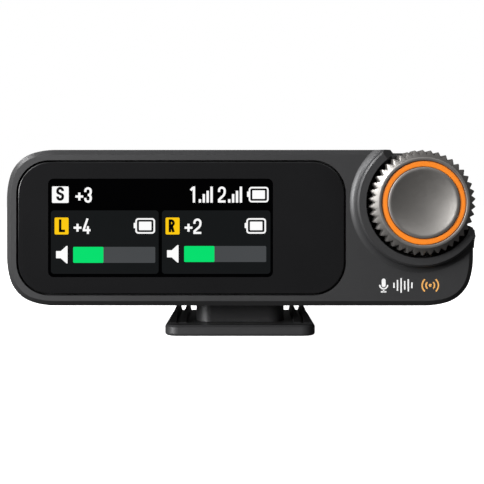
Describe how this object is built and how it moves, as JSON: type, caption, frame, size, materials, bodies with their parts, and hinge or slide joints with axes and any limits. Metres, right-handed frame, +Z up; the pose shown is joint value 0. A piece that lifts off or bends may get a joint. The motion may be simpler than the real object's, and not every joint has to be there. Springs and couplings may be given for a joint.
{
  "type": "wireless microphone receiver",
  "caption": "Pocket wireless audio receiver with a wide screen, a toothed corner dial, sockets at both ends and an accessory-shoe foot.",
  "frame": {"origin": "centre of the underside of the accessory-shoe foot", "axes": "+Z up; +X to the right of someone who reads the screen; +Y away from that reader, so the screen faces -Y"},
  "size_m": [0.0548, 0.0282, 0.023],
  "materials": {
    "housing": "fine satin dark grey coat",
    "cover_glass": "polished smoked glass",
    "screen": "black display with lit symbols",
    "dial_metal": "fine bead-blasted warm grey",
    "accent": "satin orange enamel",
    "foot_metal": "satin black coat",
    "steel": "brushed",
    "gold": "gold plated",
    "black_plastic": "moulded matte",
    "circuit_board": "solder mask",
    "flex": "amber film",
    "foil": "battery foil"
  },
  "bodies": {
    "receiver": {"front_housing": "housing", "rear_housing": "housing", "housing_screws": "steel", "display_glass": "cover_glass", "display_tape": "black_plastic", "display_panel": "screen", "display_backplate": "steel", "display_flex": "flex", "main_board": "circuit_board", "board_screws": "steel", "board_chips": "black_plastic", "radio_shield": "steel", "battery_cell": "foil", "battery_pad": "black_plastic", "battery_lead": "flex", "antenna_upper": "gold", "antenna_lower": "gold", "usb_shell": "steel", "usb_tongue": "black_plastic", "output_socket": "black_plastic", "output_contacts": "gold", "monitor_socket": "black_plastic", "monitor_contacts": "gold", "charge_pads": "gold", "charge_block": "black_plastic", "expansion_pads": "gold", "expansion_block": "black_plastic", "dial_bearing": "gold", "encoder_cover": "steel", "encoder_body": "black_plastic", "encoder_dome": "steel", "dial_board": "circuit_board", "power_switch": "black_plastic", "button_board": "circuit_board", "button_bracket": "black_plastic"},
    "dial_carrier": {"dial_plunger": "black_plastic"},
    "dial": {"dial_ring": "dial_metal", "dial_accent_ring": "accent", "dial_cap": "dial_metal", "dial_shaft": "steel", "dial_clip": "steel", "encoder_rotor": "black_plastic"},
    "power_button": {"power_button": "housing"},
    "foot": {"shoe_foot": "foot_metal", "rail_spring": "steel"}
  },
  "joints": [
    {"name": "dial_press", "type": "slide", "parent": "receiver", "child": "dial_carrier", "axis": [0, 1, 0], "range_m": [0, 0.00035], "stiffness_N_per_m": 2500, "springref_m": -0.0004},
    {"name": "dial_turn", "type": "hinge", "parent": "dial_carrier", "child": "dial", "pos_m": [0.02105, -0.016, 0.01645], "axis": [0, 1, 0], "continuous": true},
    {"name": "power_press", "type": "slide", "parent": "receiver", "child": "power_button", "axis": [0, 0, -1], "range_m": [0, 0.00025], "stiffness_N_per_m": 2500, "springref_m": -0.0004},
    {"name": "foot_slide", "type": "slide", "parent": "receiver", "child": "foot", "axis": [0, 1, 0], "range_m": [0, 0.011]}
  ]
}
